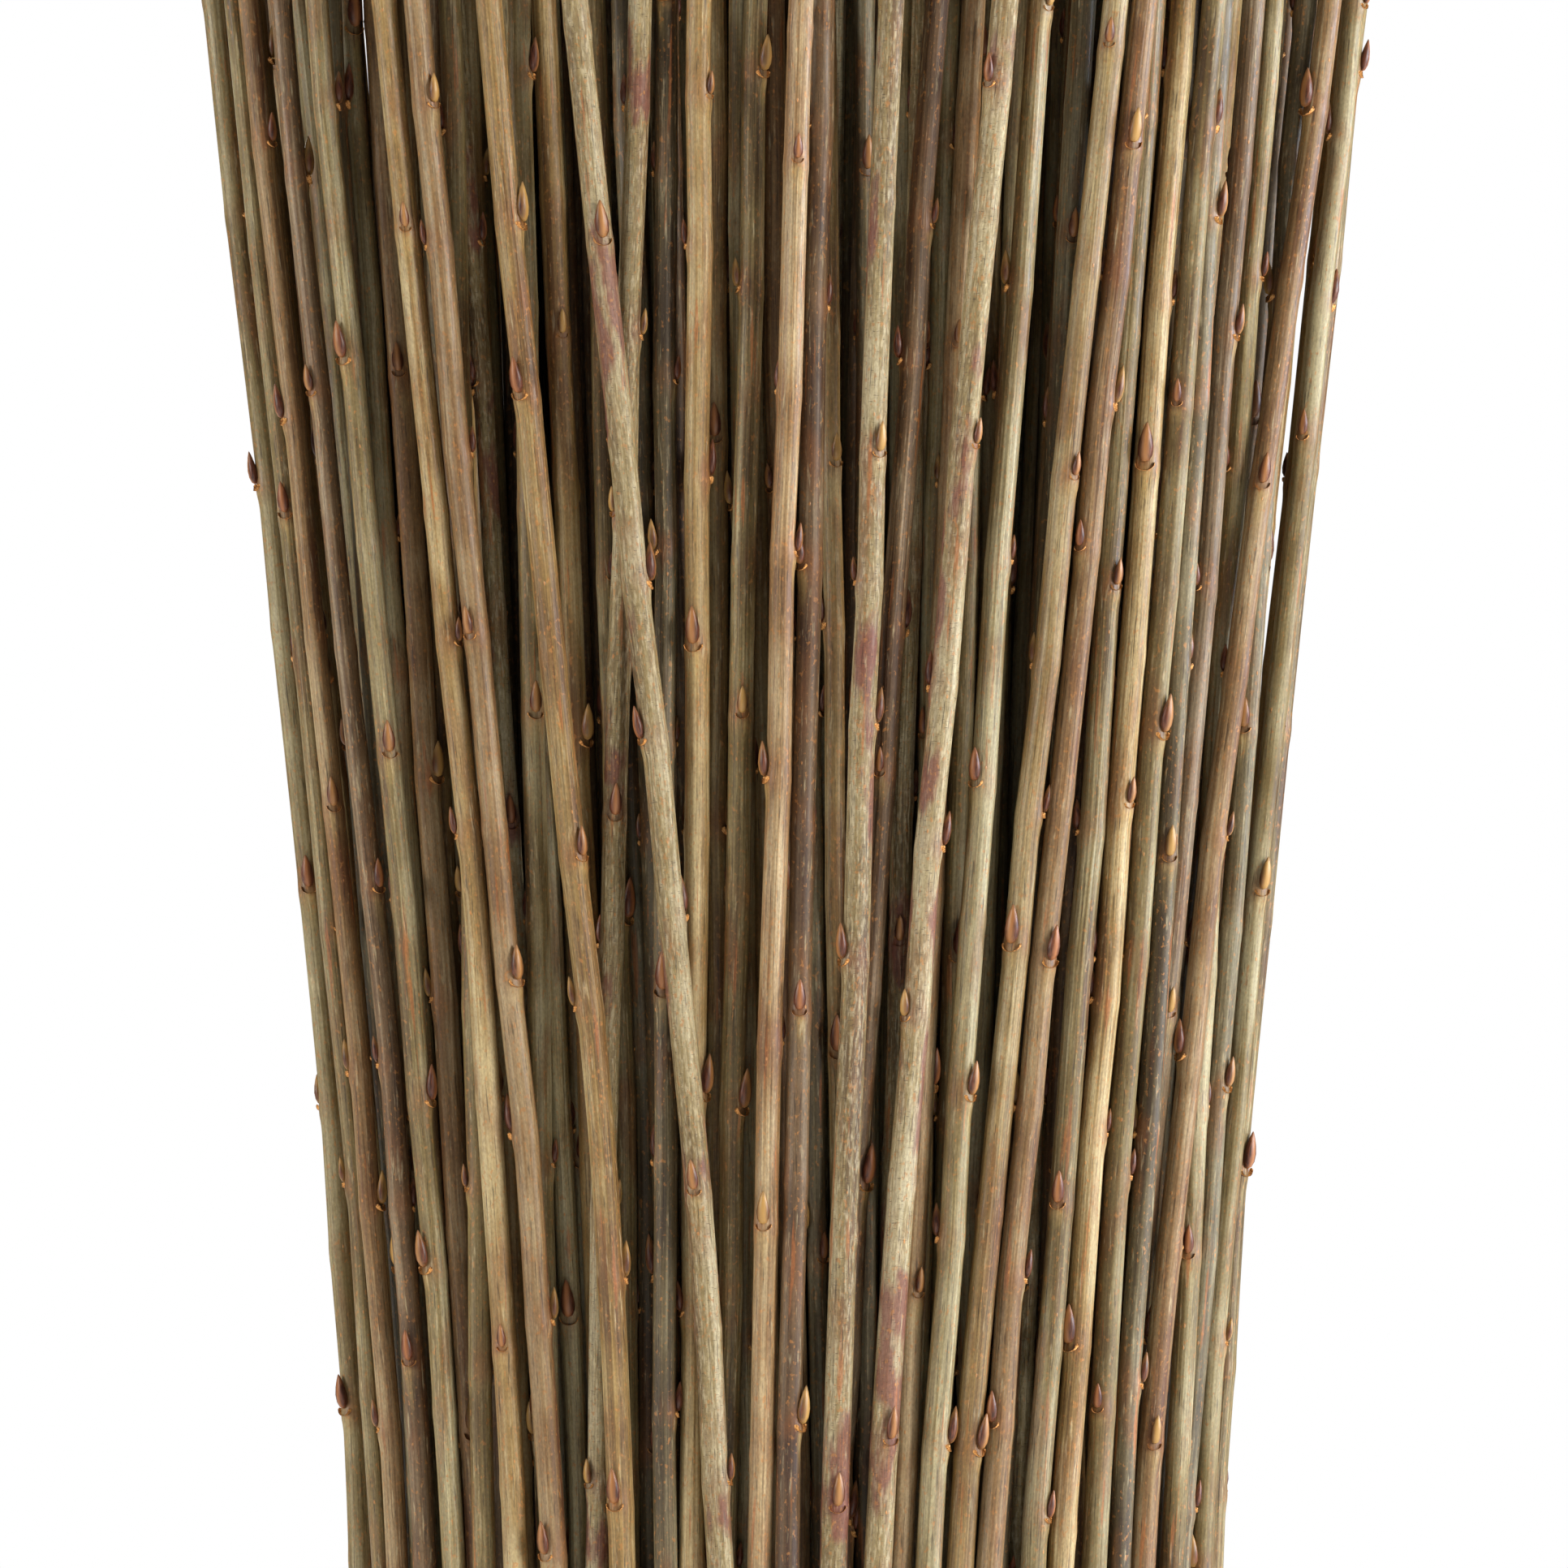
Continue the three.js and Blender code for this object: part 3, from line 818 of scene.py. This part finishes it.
# %% [markdown]
# ## The twine
# Four turns of jute twine hold the bundle, and an overhand knot joins their ends at the back. Twine
# is three strands laid round each other, and each strand is spun from long, dull, hairy fibres. It
# is made the way a stem is: three straight strands are twisted together, and the finished cord is
# then wound along its route. The winding carries a pair of directions along the route that never
# turn about it, so that the twist of the cord stays even.


# %% Twine material
FIBRE_WIDTH = 0.13 * MM


def jute(name):
    """Spun jute: matt golden-brown fibres that run along each strand, some dark and some bleached."""
    material, tree, shader = new_material(name, 0.9, 1.5)
    fibres = grain(tree, FIBRE_WIDTH, 16, 3)
    shades = grain(tree, 1.6 * MM, 4, 2)
    share = add(tree, "ShaderNodeMapRange", {0: fibres, 1: 0.32, 2: 0.68})
    colour = add(tree, "ShaderNodeMix", {0: share, 6: "7d5d34", 7: "c6a269"}, COLOUR, 2)
    colour = marked(tree, colour, shades, 0.5, 0.7, 0.4, "d8bd8a")
    tree.links.new(colour, shader.inputs["Base Color"])
    bump = add(tree, "ShaderNodeBump", {"Strength": 0.9, "Distance": 0.2 * MM, "Height": fibres})
    tree.links.new(bump, shader.inputs["Normal"])
    return material


JUTE = jute("spun_jute_twine")
print("twine:", JUTE.name)

# %% Make a straight cord and wind it
TWINE_DIAMETER = 3.2 * MM
STRANDS = 3
STRAND_SIDES = 7
STRAND_RADIUS = 0.26 * TWINE_DIAMETER
STRAND_OFFSET = 0.24 * TWINE_DIAMETER
LAY = 8.5 * MM  # length of one twist of the cord
RINGS_PER_LAY = 9


def straight_cord(length):
    """Strands side by side, not yet twisted, as a bmesh; and how many points each strand has."""
    rings = math.ceil(length / LAY * RINGS_PER_LAY)
    strand = bmesh.new()
    bmesh.ops.create_cone(strand, cap_ends=True, cap_tris=False, segments=STRAND_SIDES,
                          radius1=STRAND_RADIUS, radius2=STRAND_RADIUS, depth=length)
    bmesh.ops.translate(strand, vec=(0, 0, 0.5 * length), verts=strand.verts)
    upright = [edge for edge in strand.edges if edge.calc_length() > 0.9 * length]
    bmesh.ops.subdivide_edges(strand, edges=upright, cuts=rings)
    strand_mesh = mesh_from(strand, "strand")
    cord = bmesh.new()
    for _ in range(STRANDS):
        cord.from_mesh(strand_mesh)
    return cord, len(strand_mesh.vertices)


def square_to(route):
    """Length along a route, and two directions square to it that never turn about it."""
    lengths = np.append(0, np.cumsum(np.linalg.norm(np.diff(route, axis=0), axis=1)))
    tangents = np.gradient(route, lengths, axis=0)
    tangents /= np.linalg.norm(tangents, axis=1)[:, None]
    sides = np.empty_like(route)
    side = np.cross(tangents[0], (0.3, 0.2, 0.93))
    for index, tangent in enumerate(tangents):
        side = side - tangent * (side @ tangent)
        side /= np.linalg.norm(side)
        sides[index] = side
    return lengths, sides, np.cross(tangents, sides)


def at_length(lengths, values, where):
    """Values along a route, read at other lengths."""
    return np.stack([np.interp(where, lengths, values[:, axis]) for axis in range(3)], axis=1)


def wound_cord(name, route, node):
    """A three-strand cord wound along a route, standing for a plain solid of the frame."""
    lengths, sides, ups = square_to(route)
    bm, strand_size = straight_cord(lengths[-1])
    mesh = mesh_from(bm, name)
    points = np.empty(3 * len(mesh.vertices))
    mesh.vertices.foreach_get("co", points)
    points = points.reshape(-1, 3)
    strand = np.arange(len(points)) // strand_size
    write(mesh, "grown", "FLOAT_VECTOR", points + strand[:, None] * (8 * MM, 0, 0))
    twist = 2 * math.pi * (points[:, 2] / LAY + strand / STRANDS)
    across = points[:, 0] + STRAND_OFFSET * np.cos(twist)
    upwards = points[:, 1] + STRAND_OFFSET * np.sin(twist)
    where = points[:, 2].copy()
    points = at_length(lengths, route, where)
    points += across[:, None] * at_length(lengths, sides, where)
    points += upwards[:, None] * at_length(lengths, ups, where)
    mesh.vertices.foreach_set("co", points.ravel())
    mesh.update()
    mesh.materials.append(JUTE)
    cord = bpy.data.objects.new(name, mesh)
    bpy.context.scene.collection.objects.link(cord)
    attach(cord, "root")
    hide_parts(node)
    print(name, round(lengths[-1], 3), "m long,", len(mesh.polygons), "faces")


# %% [markdown]
# The turns climb the waist as a flattened helix. The knot is an overhand knot, the simplest of all:
# its middle is a trefoil, a curve with a known formula, opened at its lowest point, where the two
# trimmed ends hang out.

# %% Make the turns and the knot
TURNS = 4
STEPS_PER_TURN = 240
TREFOIL_SIZE = 1.55 * MM  # the formula's curve reaches three of these from its middle
TREFOIL_DEPTH = 1.6 * MM
TREFOIL_STEPS = 60
OPENING = 0.45  # radians of the trefoil left out on each side of its lowest point
LOOSE_END = [  # mm from the knot's middle
    (1.5, 1.0, -6.5), (4.5, -1.5, -11.5), (6.0, -3.2, -17.0), (8.5, -3.6, -23.0),
]
STEPS_PER_POINT = 8

low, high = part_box("twine_turns")
middle = 0.5 * (np.array(low) + np.array(high))
reach = 0.5 * (np.array(high) - np.array(low)) - 0.5 * TWINE_DIAMETER
share = np.linspace(-1, 1, TURNS * STEPS_PER_TURN)
angle = math.pi * TURNS * share + 0.5 * math.pi
turns_route = middle + reach * np.stack([np.cos(angle), np.sin(angle), share], axis=1)
wound_cord("twine_turns_of_jute", turns_route, "twine_turns")

low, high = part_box("twine_knot")
knot_middle = 0.5 * (np.array(low) + np.array(high))
t = math.pi + np.linspace(OPENING, 2 * math.pi - OPENING, TREFOIL_STEPS)
trefoil = np.stack([
    TREFOIL_SIZE * (np.sin(t) + 2 * np.sin(2 * t)),
    -TREFOIL_DEPTH * np.sin(3 * t),
    TREFOIL_SIZE * (np.cos(t) - 2 * np.cos(2 * t)),
], axis=1)
left_end = MM * np.array(LOOSE_END[::-1]) * (-1, 1, 1)
right_end = MM * np.array(LOOSE_END)
spaced = np.append(trefoil[::3], trefoil[-1:], axis=0)  # every third point, and the last
knot_points = knot_middle + np.concatenate([left_end, spaced, right_end])
finer = np.linspace(0, len(knot_points) - 1, STEPS_PER_POINT * len(knot_points))
knot_route = smooth_line(np.arange(len(knot_points), dtype=float), knot_points, finer)
wound_cord("twine_overhand_knot", knot_route, "twine_knot")

# %% [markdown]
# ## The stage
# The bundle is seen level, from a little over a metre away, on a plain pale floor with white
# behind it. Two soft lights stand to the right and give each rod a bright side. A weaker one on
# the left lifts its other side, a wide one hangs overhead, and one lights the back. To the camera
# the surroundings are white, but they light the bundle only faintly, and coolly, so that the gaps
# between the stems stay dark.

# %% Camera, lights and floor
VIEW_HEIGHT = 0.3205
VIEW_DISTANCE = 1.25
SEEN_HEIGHT = 0.2512  # of the bundle, measured where its front stems are
FRONT_DEPTH = 0.01
SENSOR = 36.0  # mm, as camera data holds it
FLOOR_RADIUS = 1.75

camera_data = bpy.data.cameras.new("camera")
camera_data.sensor_width = SENSOR
camera_data.lens = SENSOR * (VIEW_DISTANCE - FRONT_DEPTH) / SEEN_HEIGHT
camera = bpy.data.objects.new("camera", camera_data)
camera.location = (0, -VIEW_DISTANCE, VIEW_HEIGHT)
camera.rotation_euler = (math.radians(90), 0, 0)
bpy.context.scene.collection.objects.link(camera)
bpy.context.scene.camera = camera


def soft_light(name, place, aim, size, power, colour):
    """A square area light that looks at a point."""
    light = bpy.data.objects.new(name, bpy.data.lights.new(name, "AREA"))
    light.data.size = size
    light.data.energy = power
    light.data.color = linear(colour)[:3]
    light.location = place
    light.rotation_euler = (Vector(aim) - Vector(place)).to_track_quat("-Z", "Y").to_euler()
    bpy.context.scene.collection.objects.link(light)


MIDDLE = (0, 0, 0.3)
soft_light("right_light", (1.5, -1.1, 0.8), MIDDLE, 0.6, 38, "fffaf2")
soft_light("side_light", (1.7, -0.15, 0.6), MIDDLE, 0.5, 34, "dcebff")
soft_light("left_light", (-1.6, -0.75, 0.7), MIDDLE, 0.7, 20, "fffaf2")
soft_light("top_light", (0, 0, 3.2), (0, 0, 0), 3.0, 90, "f6f8ff")
soft_light("back_light", (-0.9, 1.6, 1.0), MIDDLE, 0.7, 16, "fffaf2")

SKY_LIGHT = 0.105
world = bpy.data.worlds.new("white_studio")
world.use_nodes = True
bpy.context.scene.world = world
sky = world.node_tree.nodes["Background"]
seen = add(world.node_tree, "ShaderNodeLightPath", out="Is Camera Ray")
tint = add(world.node_tree, "ShaderNodeMix", {0: seen, 6: "c8dcec", 7: "ffffff"}, COLOUR, 2)
world.node_tree.links.new(tint, sky.inputs["Color"])
brightness = add(world.node_tree, "ShaderNodeMapRange", {0: seen, 3: SKY_LIGHT, 4: 1.0})
world.node_tree.links.new(brightness, sky.inputs["Strength"])
bpy.context.scene.view_settings.view_transform = "Standard"

bm = bmesh.new()
bmesh.ops.create_circle(bm, cap_ends=True, segments=128, radius=FLOOR_RADIUS)
floor_mesh = mesh_from(bm, "floor")
floor = bpy.data.objects.new("floor", floor_mesh)
bpy.context.scene.collection.objects.link(floor)
paint, _, paint_shader = new_material("matt_white_paint", 0.8, 1.5)
paint_shader.inputs["Base Color"].default_value = linear("e3dfd6")
floor_mesh.materials.append(paint)
print("camera lens:", round(camera_data.lens, 1), "mm")
